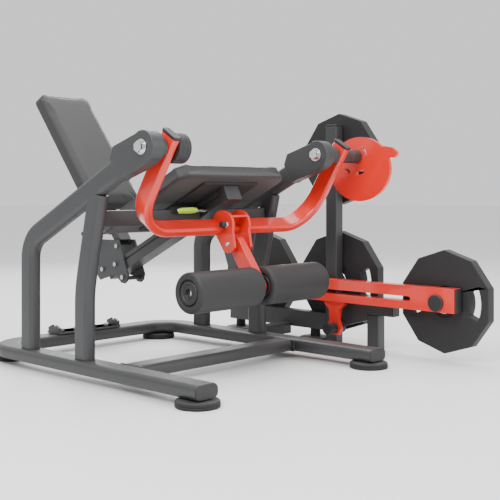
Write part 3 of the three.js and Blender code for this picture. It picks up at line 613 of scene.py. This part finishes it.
def vinyl_finish(name, colour, deep):
    """Upholstery vinyl: a leather grain of small cells, with a soft sheen."""
    finish = bpy.data.materials.new(name)
    finish.use_nodes = True
    tree = finish.node_tree
    shader = tree.nodes["Principled BSDF"]
    shader.inputs["Sheen Weight"].default_value = 0.12
    shader.inputs["Sheen Roughness"].default_value = 0.5
    shader.inputs["Specular IOR Level"].default_value = 0.38
    place = put(tree, "ShaderNodeTexCoord")
    cells = put(tree, "ShaderNodeTexVoronoi", {"feature": "DISTANCE_TO_EDGE"}, Scale=420.0)
    tree.links.new(place.outputs["Object"], cells.inputs["Vector"])
    grain = put(tree, "ShaderNodeGroup", {"node_tree": grain_group})
    grain.inputs["Fine Scale"].default_value = 160
    tree.links.new(mix_colour(tree, grain.outputs["Slow"], deep, colour),
                   shader.inputs["Base Color"])
    tree.links.new(scaled(tree, grain.outputs["Fine"], 0.46, 0.62), shader.inputs["Roughness"])
    creases = put(tree, "ShaderNodeBump", Strength=0.3, Distance=0.0006)
    tree.links.new(cells.outputs["Distance"], creases.inputs["Height"])
    soft = put(tree, "ShaderNodeBump", Strength=0.12, Distance=0.003)
    tree.links.new(grain.outputs["Slow"], soft.inputs["Height"])
    tree.links.new(creases.outputs["Normal"], soft.inputs["Normal"])
    tree.links.new(soft.outputs["Normal"], shader.inputs["Normal"])
    return finish


vinyl = vinyl_finish("black_vinyl", (0.03, 0.03, 0.031), (0.022, 0.022, 0.023))


def stuffed(name, node, origin, across, along, up, thickness, voxel, swell, finish):
    """A pad grown by cloth pressure from its CAD solid. Its underside stays flat.
    The solid's place is measured from origin: across, along and up are its own unit axes."""
    pad = refined(node, name, finish, edge=0.011, angle=35)
    low = [1e9, 1e9, 1e9]
    high = [-1e9, -1e9, -1e9]
    local = []
    for vertex in pad.data.vertices:
        offset = vertex.co - origin
        spot = [offset.dot(across), offset.dot(along), offset.dot(up)]
        local.append(spot)
        low = [min(a, b) for a, b in zip(low, spot)]
        high = [max(a, b) for a, b in zip(high, spot)]
    margin = swell * 0.45
    for vertex, spot in zip(pad.data.vertices, local):
        shrunk = []
        for k in range(3):
            middle = (low[k] + high[k]) / 2
            half = (high[k] - low[k]) / 2
            shrunk.append(middle + (spot[k] - middle) * (half - margin) / half)
        lift = (spot[2] - low[2]) / (high[2] - low[2])
        shrunk[2] = low[2] + lift * (high[2] - low[2] - margin)
        vertex.co = origin + across * shrunk[0] + along * shrunk[1] + up * shrunk[2]
    remesh = pad.modifiers.new("even", "REMESH")
    remesh.mode = "VOXEL"
    remesh.voxel_size = voxel
    remesh.use_smooth_shade = True
    bake_modifiers(pad)
    pad.data.materials.clear()
    pad.data.materials.append(finish)
    start = [v.co.copy() for v in pad.data.vertices]
    held = pad.vertex_groups.new(name="held")
    under = [v.index for v in pad.data.vertices
             if (v.co - origin).dot(up) < low[2] + thickness * 0.16]
    held.add(under, 1.0, "REPLACE")
    cloth = pad.modifiers.new("stuffing", "CLOTH")
    cloth.settings.use_pressure = True
    cloth.settings.uniform_pressure_force = 4.0
    cloth.settings.effector_weights.gravity = 0.0
    cloth.settings.vertex_group_mass = "held"
    cloth.settings.quality = 4
    cloth.point_cache.frame_start = 1
    cloth.point_cache.frame_end = 20
    for step in range(1, 21):
        scene.frame_set(step)
    seen = pad.evaluated_get(bpy.context.evaluated_depsgraph_get())
    moved = [v.co.copy() for v in seen.data.vertices]
    pad.modifiers.clear()
    pad.vertex_groups.clear()
    scene.frame_set(1)
    for vertex, before, after in zip(pad.data.vertices, start, moved):
        push = after - before
        if push.length > 1e-7:
            push *= swell * math.tanh(push.length / swell) / push.length
        vertex.co = before + push
    smooth = pad.modifiers.new("ease", "SMOOTH")
    smooth.factor = 0.5
    smooth.iterations = 3
    finer = pad.modifiers.new("finer", "SUBSURF")
    finer.levels = 1
    finer.render_levels = 1
    bake_modifiers(pad)
    pad.data.polygons.foreach_set("use_smooth", [True] * len(pad.data.polygons))
    return pad


def build_stitch_tree():
    """Short round stitches at an even spacing along a path."""
    tree = bpy.data.node_groups.new("stitch_row", "GeometryNodeTree")
    tree.interface.new_socket("Path", in_out="INPUT", socket_type="NodeSocketGeometry")
    for label in ("Spacing", "Length", "Radius"):
        tree.interface.new_socket(label, in_out="INPUT", socket_type="NodeSocketFloat")
    tree.interface.new_socket("Finish", in_out="INPUT", socket_type="NodeSocketMaterial")
    tree.interface.new_socket("Stitches", in_out="OUTPUT", socket_type="NodeSocketGeometry")
    given = tree.nodes.new("NodeGroupInput")
    path = tree.nodes.new("GeometryNodeMeshToCurve")
    spots = tree.nodes.new("GeometryNodeCurveToPoints")
    spots.mode = "LENGTH"
    thread = tree.nodes.new("GeometryNodeMeshCylinder")
    thread.inputs["Vertices"].default_value = 6
    spread = tree.nodes.new("GeometryNodeInstanceOnPoints")
    real = tree.nodes.new("GeometryNodeRealizeInstances")
    painted = tree.nodes.new("GeometryNodeSetMaterial")
    result = tree.nodes.new("NodeGroupOutput")
    tree.links.new(given.outputs["Path"], path.inputs["Mesh"])
    tree.links.new(path.outputs["Curve"], spots.inputs["Curve"])
    tree.links.new(given.outputs["Spacing"], spots.inputs["Length"])
    tree.links.new(given.outputs["Radius"], thread.inputs["Radius"])
    tree.links.new(given.outputs["Length"], thread.inputs["Depth"])
    tree.links.new(spots.outputs["Points"], spread.inputs["Points"])
    tree.links.new(spots.outputs["Rotation"], spread.inputs["Rotation"])
    tree.links.new(thread.outputs["Mesh"], spread.inputs["Instance"])
    tree.links.new(spread.outputs["Instances"], real.inputs["Geometry"])
    tree.links.new(real.outputs["Geometry"], painted.inputs["Geometry"])
    tree.links.new(given.outputs["Finish"], painted.inputs["Material"])
    tree.links.new(painted.outputs["Geometry"], result.inputs["Stitches"])
    return tree


stitch_tree = build_stitch_tree()


def pulled_to(pad, points, sink):
    """The points moved to the nearest place on the pad's surface, sunk by a little."""
    surface = BVHTree.FromPolygons([v.co for v in pad.data.vertices],
                                   [p.vertices for p in pad.data.polygons])
    found = []
    for spot in points:
        near_point, normal, _, _ = surface.find_nearest(spot)
        found.append(near_point - normal * sink)
    return found


def ring_path(corners, step):
    """Evenly spaced points around a closed outline of corner points."""
    points = []
    for here, after in zip(corners, corners[1:] + corners[:1]):
        count = max(2, round((after - here).length / step))
        points += [here.lerp(after, k / count) for k in range(count)]
    return points


along_seat = Vector((0, math.cos(SLOPE), -math.sin(SLOPE)))
above_seat = Vector((0, math.sin(SLOPE), math.cos(SLOPE)))
to_far = Vector((1, 0, 0))
SEAT_W, SEAT_L, SEAT_T = 0.6, 0.54, 0.066
PIPING = {"Across": 0.0052, "Deep": 0.0052, "Corner": 0.0025, "Finish": vinyl}
seat_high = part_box("seat_pad")[1]
seat_front = Vector((knee.x, seat_high.y - (SEAT_L * math.cos(SLOPE)), seat_high.z))
seat_pad = stuffed("seat_cushion", "seat_pad", seat_front, to_far, along_seat, above_seat, SEAT_T,
                   0.007, 0.012, vinyl)
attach(seat_pad, "frame")
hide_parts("seat_pad")


def seat_outline(inset, level):
    """The seat's outline with its cut front corners, moved in by inset, at a height on its side."""
    half = SEAT_W / 2 - inset
    cut = 0.036
    flat = [(-half + cut, inset), (half - cut, inset), (half, inset + cut), (half, SEAT_L - inset),
            (-half, SEAT_L - inset), (-half, inset + cut)]
    return [seat_front + to_far * x + along_seat * s + above_seat * level for x, s in flat]


for label, inset, level in (("top", 0.0015, -0.006), ("bottom", 0.002, -SEAT_T + 0.008)):
    seam = pulled_to(seat_pad, ring_path(seat_outline(inset, level), 0.012), 0.0006)
    piping = grow(f"seat_piping_{label}", tube_tree, seam,
                  PIPING, closed=True)
    merge_points(piping)
    piping.data.polygons.foreach_set("use_smooth", [True] * len(piping.data.polygons))
    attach(piping, "frame")
thread = coated_finish("black_thread", (0.05, 0.05, 0.05), (0.03, 0.03, 0.03), (0.08, 0.08, 0.08),
                       0.7, 3000, 0.3, wear=0.0)
STITCHES = {"Spacing": 0.0075, "Length": 0.005, "Radius": 0.0006, "Finish": thread}
seat_stitches = grow("seat_stitches", stitch_tree,
                     pulled_to(seat_pad, ring_path(seat_outline(0.012, 0.0), 0.02), 0.0),
                     STITCHES, closed=True)
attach(seat_stitches, "frame")

# ---- seat carrier --------------------------------------------------------------------------------
# A black painted plywood board is screwed to the seat. The board lies on a sloping steel beam with
# a guide groove, and two cross tubes tie the beam to the side frames.
board_black = coated_finish("black_painted_board", (0.022, 0.022, 0.022), (0.014, 0.014, 0.014),
                            (0.09, 0.07, 0.05), 0.66, 260, 0.5, wear=0.3)
seat_board = refined("seat_board", "seat_board_panel", board_black, edge=0.0015)
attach(seat_board, "frame")
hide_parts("seat_board")
for node in ("seat_beam", "seat_cross_near", "seat_cross_far"):
    bar = refined(node, node + "_tube", charcoal, edge=0.004 if node != "seat_beam" else 0.0025)
    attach(bar, "frame")
    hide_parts(node)

# ---- lime paddle ---------------------------------------------------------------------------------
# The quick release for the seat is a small flat paddle, dipped in bright lime plastic. It turns
# with its steel spindle, which goes into the beam.
lime = coated_finish("lime_dipped_grip", (0.62, 0.95, 0.01), (0.52, 0.88, 0.005), (0.75, 1.0, 0.2),
                     0.32, 500, 0.1, wear=0.0, dust=0.02, coat=0.3)
paddle = refined("seat_adjuster_paddle", "seat_adjuster_grip", lime, edge=0.0035, angle=30)
low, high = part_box("seat_adjuster_paddle")
repaint(paddle, zinc, lambda c: c.x > high.x - 0.05)
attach(paddle, "paddle")
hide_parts("seat_adjuster_paddle")

# ---- back rest -----------------------------------------------------------------------------------
# A tall narrow pad leans back on a painted board. The board is screwed to an upright between two
# cheek plates, and the plates slide along the beam and lock with a pull rod.
RECLINE = math.radians(39.5)
up_back = Vector((0, math.sin(RECLINE), math.cos(RECLINE)))
out_back = Vector((0, -math.cos(RECLINE), math.sin(RECLINE)))
BACK_W, BACK_L, BACK_T = 0.3, 0.672, 0.06
back_low, back_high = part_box("back_pad")
back_foot = Vector((knee.x, back_high.y - BACK_L * math.sin(RECLINE) - BACK_T * math.cos(RECLINE),
                    back_low.z + BACK_T * math.sin(RECLINE)))
back_pad = stuffed("back_cushion", "back_pad", back_foot, to_far, up_back, out_back, BACK_T,
                   0.006, 0.011, vinyl)
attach(back_pad, "back_rest")
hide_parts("back_pad")


def back_outline(inset, level):
    """The back pad's outline with its round corners, moved in by inset, at a height on its side."""
    half = BACK_W / 2 - inset
    radius = 0.042 - inset
    points = []
    for cx, cs, first in ((half - radius, BACK_L - inset - radius, 0),
                          (-half + radius, BACK_L - inset - radius, 90),
                          (-half + radius, inset + radius, 180),
                          (half - radius, inset + radius, 270)):
        for k in range(7):
            angle = math.radians(first + 15 * k)
            points.append((cx + radius * math.cos(angle), cs + radius * math.sin(angle)))
    return [back_foot + to_far * x + up_back * s + out_back * level for x, s in points]


for label, inset, level in (("front", 0.0015, -0.007), ("rear", 0.002, -BACK_T + 0.008)):
    seam = pulled_to(back_pad, ring_path(back_outline(inset, level), 0.012), 0.0006)
    piping = grow(f"back_piping_{label}", tube_tree, seam,
                  PIPING, closed=True)
    merge_points(piping)
    piping.data.polygons.foreach_set("use_smooth", [True] * len(piping.data.polygons))
    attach(piping, "back_rest")
back_stitches = grow("back_stitches", stitch_tree,
                     pulled_to(back_pad, ring_path(back_outline(0.013, 0.0), 0.02), 0.0),
                     STITCHES, closed=True)
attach(back_stitches, "back_rest")

back_board = refined("back_board", "back_board_panel", board_black, edge=0.0015)
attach(back_board, "back_rest")
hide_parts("back_board")
carriage = refined("back_carriage", "back_carriage_plates", charcoal, edge=0.0012)
low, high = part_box("back_carriage")
repaint(carriage, zinc, lambda c: c.x < knee.x - 0.0495)
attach(carriage, "back_rest")
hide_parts("back_carriage")
low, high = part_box("back_release_rod")
rod_centre = Vector((0, (low.y + high.y) / 2, (low.z + high.z) / 2))
release = turned("back_release_handle", [
    (low.x, 0), (low.x, 0.0075), (low.x + 0.002, 0.009), (low.x + 0.08, 0.009),
    (low.x + 0.083, 0.0075),
    (low.x + 0.086, 0.006), (high.x - 0.03, 0.006), (high.x - 0.029, 0.009), (high.x, 0.009),
    (high.x, 0),
], rod_centre, black_plastic, sides=32)
repaint(release, zinc, lambda c: c.x > low.x + 0.084)
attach(release, "release")
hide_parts("back_release_rod")

# ---- red yoke ------------------------------------------------------------------------------------
# The swinging yoke is one wide U bent from flat-oval tube and painted gloss red. Black caps close
# its arms, and black sleeves and a housing carry it on the knee blocks.
red = coated_finish("red_gloss_paint", (0.74, 0.021, 0.009), (0.62, 0.014, 0.006), (0.8, 0.16, 0.1),
                    0.3, 650, 0.08, wear=0.25, dust=0.05, coat=0.55)
TILT = math.radians(32)
YOKE_HALF, YOKE_DROP, YOKE_RISE = 0.475, 0.34, 0.048
YOKE_T, YOKE_W = 0.034, 0.075


def on_yoke(x, down):
    """A point in the yoke's plane, down from the knee axis."""
    return Vector((x, knee.y + down * math.sin(TILT), knee.z - down * math.cos(TILT)))


near_x = knee.x - YOKE_HALF
far_x = knee.x + YOKE_HALF
yoke = bent_tube("yoke_tube", [
    (on_yoke(near_x, -YOKE_RISE), 0), (on_yoke(near_x, YOKE_DROP), 0.15),
    (on_yoke(far_x, YOKE_DROP), 0.15), (on_yoke(far_x, -YOKE_RISE), 0),
], YOKE_T, YOKE_W, 0.011, red)
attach(yoke, "yoke_frame")
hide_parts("yoke")
for label, x in (("near", near_x), ("far", far_x)):
    cap = bent_tube(f"yoke_cap_{label}", [
        (on_yoke(x, -YOKE_RISE - 0.0003), 0), (on_yoke(x, -YOKE_RISE - 0.012), 0),
    ], YOKE_T, YOKE_W + 0.004, 0.011, black_plastic, edge=0.003)
    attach(cap, "yoke_frame")
for node, radius, finish, slot_name, ribs in (
        ("near_pivot_sleeve", 0.034, charcoal, "frame_charcoal", 0),
        ("far_pivot_sleeve", 0.034, charcoal, "frame_charcoal", 1),
        ("near_pivot_housing", 0.054, black_plastic, "black_plastic", 2),
        ("cam_drive_tube", 0.029, charcoal, "frame_charcoal", 1)):
    low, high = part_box(node)
    length = high.x - low.x
    outline = [(0, 0), (0, radius - 0.003), (0.003, radius)]
    for k in range(ribs):
        groove = length * (k + 1) / (ribs + 1)
        outline += [(groove - 0.003, radius), (groove - 0.002, radius - 0.0015),
                    (groove + 0.002, radius - 0.0015), (groove + 0.003, radius)]
    outline += [(length - 0.003, radius), (length, radius - 0.003), (length, 0)]
    sleeve = turned(node + "_turned", outline, Vector((low.x, knee.y, knee.z)), finish)
    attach(sleeve, "yoke_frame")
    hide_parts(node)

# ---- range cam and yoke clevis -------------------------------------------------------------------
# A red steel disc with a tab and three curved slots turns with the far arm and sets the range of
# travel. Two red cheek plates hang from the middle of the yoke for the roller arm.
cam = refined("range_cam", "range_cam_disc", red, edge=0.0015)
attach(cam, "yoke_frame")
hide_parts("range_cam")
cam_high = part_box("range_cam")[1]
hub_bolt = bolts("cam_hub_bolt", [(cam_high.x, knee.y, knee.z)], 0.015, 0.012, 0.024, 0.004, TO_FAR,
                 chrome)
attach(hub_bolt, "yoke_frame")
cheeks = refined("yoke_clevis", "yoke_cheek_plates", red, edge=0.0015)
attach(cheeks, "yoke_frame")
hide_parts("yoke_clevis")
low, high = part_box("arm_pivot_pin")
pin_centre = ((low.y + high.y) / 2, (low.z + high.z) / 2)
pivot_pin = turned("arm_pivot_shaft", [
    (low.x, 0), (low.x, 0.0075), (low.x + 0.0015, 0.009), (high.x - 0.0015, 0.009),
    (high.x, 0.0075), (high.x, 0),
], Vector((0, *pin_centre)), chrome, sides=40)
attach(pivot_pin, "yoke_frame")
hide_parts("arm_pivot_pin")
low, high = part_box("arm_selector_pin")
pull_pin = turned("arm_selector_knob", [
    (low.x, 0), (low.x, 0.009), (low.x + 0.003, 0.013), (low.x + 0.014, 0.0137),
    (low.x + 0.018, 0.0105),
    (low.x + 0.022, 0.009), (low.x + 0.0275, 0.0125), (low.x + 0.028, 0.009), (high.x, 0.009),
    (high.x, 0),
], Vector((0, (low.y + high.y) / 2, (low.z + high.z) / 2)), black_plastic, sides=40)
repaint(pull_pin, chrome, lambda c: c.x > low.x + 0.0225)
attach(pull_pin, "selector")
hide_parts("arm_selector_pin")

# ---- roller arm and shin rollers -----------------------------------------------------------------
# A flat red arm turns between the cheek plates and carries a chromed axle. Two foam rollers with a
# smooth black skin spin on it, and each end has a pressed-in plastic disc.
foam = coated_finish("black_foam_skin", (0.026, 0.026, 0.027), (0.019, 0.019, 0.02),
                     (0.05, 0.05, 0.05),
                     0.56, 520, 0.45, wear=0.1, dust=0.05, specular=0.35)
arm = refined("roller_arm", "roller_arm_blade", red, edge=0.002)
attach(arm, "shin_arm")
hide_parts("roller_arm")
low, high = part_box("roller_axle")
axle_centre = Vector((0, (low.y + high.y) / 2, (low.z + high.z) / 2))
axle = turned("roller_axle_shaft", [
    (low.x, 0), (low.x, 0.014), (low.x + 0.002, 0.016), (high.x - 0.002, 0.016), (high.x, 0.014),
    (high.x, 0),
], axle_centre, chrome, sides=48)
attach(axle, "shin_arm")
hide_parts("roller_axle")
ROLLER_R = 0.075
BORE_R = 0.0163
for side, body in (("near", "near_roller"), ("far", "far_roller")):
    low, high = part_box(f"roller_{side}")
    x0, x1 = low.x, high.x
    half_outline = [(0.012, BORE_R), (0.012, 0.044), (0.009, 0.0475), (0.003, 0.0495), (0, 0.054),
                    (0.0004, 0.060), (0.0022, 0.0665), (0.0055, 0.0713), (0.0098, 0.0740),
                    (0.0145, ROLLER_R)]
    outline = [(x0 + s, r) for s, r in half_outline] + [(x1 - s, r) for s,
                                                        r in reversed(half_outline)]
    roller = turned(f"{side}_roller_foam", outline, axle_centre, foam, sides=112, closed=True,
                    edge=0.0004)
    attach(roller, body)
    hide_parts(f"roller_{side}")
    for end, at, way in (("inner", x1 if side == "near" else x0, -1 if side == "near" else 1),
                         ("outer", x0 if side == "near" else x1, 1 if side == "near" else -1)):
        disc = turned(f"{side}_roller_disc_{end}", [
            (at + way * 0.0119, BORE_R), (at + way * 0.0119, 0.0435), (at + way * 0.006, 0.0435),
            (at + way * 0.004, 0.041), (at + way * 0.0045, 0.034), (at + way * 0.007, 0.031),
            (at + way * 0.0065, 0.022), (at + way * 0.003, 0.020), (at + way * 0.003, BORE_R),
        ], axle_centre, black_plastic, closed=True, edge=0.0004)
        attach(disc, body)

# ---- weight lever --------------------------------------------------------------------------------
# A long red box section with a slot swings on a pin at the storage frame and is lifted with the
# yoke. A drop bracket with a cross peg hangs under it, and a chromed horn at the front takes
# plates.
lever = refined("weight_lever", "weight_lever_bar", red, edge=0.003)
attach(lever, "lever")
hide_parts("weight_lever")
low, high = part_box("weight_lever")
LEVER_W, LEVER_H = 0.05, 0.098
lever_mid_x = (low.x + high.x) / 2
lever_z = Vector(next(j["pos_m"] for j in frame["joints"] if j["name"] == "lever_swing")).z
lever_plug = bent_tube("weight_lever_plug", [
    (Vector((lever_mid_x, low.y - 0.0003, lever_z)), 0),
    (Vector((lever_mid_x, low.y - 0.006, lever_z)), 0),
], LEVER_W - 0.001, LEVER_H - 0.001, 0.004, black_plastic, edge=0.002)
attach(lever_plug, "lever")
drop = refined("lever_drop_bracket", "lever_drop_plate", red, edge=0.0015)
repaint(drop, black_plastic, lambda c: abs(c.x - lever_mid_x) > 0.0102)
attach(drop, "lever")
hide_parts("lever_drop_bracket")
low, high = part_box("lever_horn")
horn_centre = Vector((0, (low.y + high.y) / 2, (low.z + high.z) / 2))
face_x = lever_mid_x + LEVER_W / 2 + 0.0003
horn = turned("lever_horn_turned", [
    (low.x, 0), (low.x, 0.031), (low.x + 0.003, 0.034), (low.x + 0.0108, 0.034),
    (low.x + 0.011, 0.0143),
    (face_x, 0.0143), (face_x + 0.0001, 0.046), (face_x + 0.002, 0.048), (face_x + 0.006, 0.048),
    (face_x + 0.008, 0.046), (face_x + 0.0081, 0.024), (high.x - 0.004, 0.024), (high.x, 0.02),
    (high.x, 0),
], horn_centre, chrome, sides=64, edge=0.0004)
repaint(horn, black_plastic, lambda c: c.x < low.x + 0.0109)
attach(horn, "lever")
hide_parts("lever_horn")

# ---- storage frame -------------------------------------------------------------------------------
# A second frame of square charcoal tube stands outside the far rail. It holds the lever's pin, a
# support for the lever at rest, and three horns for spare plates.
for node in ("support_post", "support_bridge", "storage_floor_rail", "storage_front_post",
             "storage_rail"):
    bar = refined(node, node + "_tube", charcoal, edge=0.004)
    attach(bar, "frame")
    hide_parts(node)
low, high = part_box("storage_rear_post")
store_x = (low.x + high.x) / 2
rear_post_y = low.y + 0.03
rear_post = bent_tube("storage_rear_post_tube", [
    (Vector((store_x, rear_post_y, low.z)), 0), (Vector((store_x, rear_post_y, 0.19)), 0.14),
    (Vector((store_x, rear_post_y + 0.08, 0.4)), 0),
], TUBE_T, 0.06, 0.006, charcoal)
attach(rear_post, "frame")
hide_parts("storage_rear_post")
low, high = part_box("storage_front_post")
post_cap = bent_tube("storage_post_cap", [
    (Vector((store_x, (low.y + high.y) / 2, high.z + 0.0003)), 0),
    (Vector((store_x, (low.y + high.y) / 2, high.z + 0.007)), 0),
], high.x - low.x, high.y - low.y, 0.004, black_plastic, edge=0.002)
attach(post_cap, "frame")
# Painted shade: a thin black sheet covers the front face of the lever's rest support. It stands for
# the shadow that the lever casts on that face and is not a real cap or part.
SHADE_SHEET_H = 0.06
low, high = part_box("support_bridge")
shade_sheet_mid = high.z - SHADE_SHEET_H / 2
bridge_shade_sheet = bent_tube("support_bridge_shade_sheet", [
    (Vector(((low.x + high.x) / 2, low.y - 0.0003, shade_sheet_mid)), 0),
    (Vector(((low.x + high.x) / 2, low.y - 0.006, shade_sheet_mid)), 0),
], high.x - low.x, SHADE_SHEET_H, 0.004, black_plastic, edge=0.002)
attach(bridge_shade_sheet, "frame")
low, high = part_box("lever_pivot_pin")
lever_pin = refined("lever_pivot_pin", "lever_pivot_shaft", chrome, edge=0.0015, angle=40)
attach(lever_pin, "frame")
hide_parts("lever_pivot_pin")
for name in ("upper", "lower", "rear"):
    low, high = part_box(f"storage_horn_{name}")
    peg = turned(f"storage_horn_{name}_turned", [
        (low.x, 0), (low.x, 0.044), (low.x + 0.002, 0.046), (low.x + 0.0062, 0.046),
        (low.x + 0.0077, 0.044),
        (low.x + 0.0078, 0.024), (high.x - 0.004, 0.024), (high.x, 0.02), (high.x, 0),
    ], Vector((0, (low.y + high.y) / 2, (low.z + high.z) / 2)), chrome, sides=64, edge=0.0004)
    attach(peg, "frame")
    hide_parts(f"storage_horn_{name}")

# ---- weight plates -------------------------------------------------------------------------------
# Four ten-sided rubber coated plates hang on the horns. Each has a sunk middle inside its
# rim, two curved grip slots and a steel bush in its bore.
plate_rubber = coated_finish("plate_rubber", (0.021, 0.021, 0.022), (0.014, 0.014, 0.015),
                             (0.07, 0.07, 0.07), 0.58, 420, 0.6, wear=0.5, dust=0.18, specular=0.35)

for node, body in (("lever_plate", "lever_disc"), ("storage_plate_upper", "upper_disc"),
                   ("storage_plate_lower", "lower_disc"), ("storage_plate_rear", "rear_disc")):
    low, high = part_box(node)
    y, z = (low.y + high.y) / 2, (low.z + high.z) / 2
    disc = refined(node, node + "_disc", plate_rubber, edge=0.004)
    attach(disc, body)
    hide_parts(node)
    bush = turned(node + "_bush", [
        (low.x + 0.0082, 0.0245), (low.x + 0.0082, 0.034), (low.x + 0.0072, 0.036),
        (low.x + 0.0060, 0.034),
        (low.x + 0.0060, 0.0245),
    ], Vector((0, y, z)), zinc, closed=True, edge=0.0003)
    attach(bush, body)
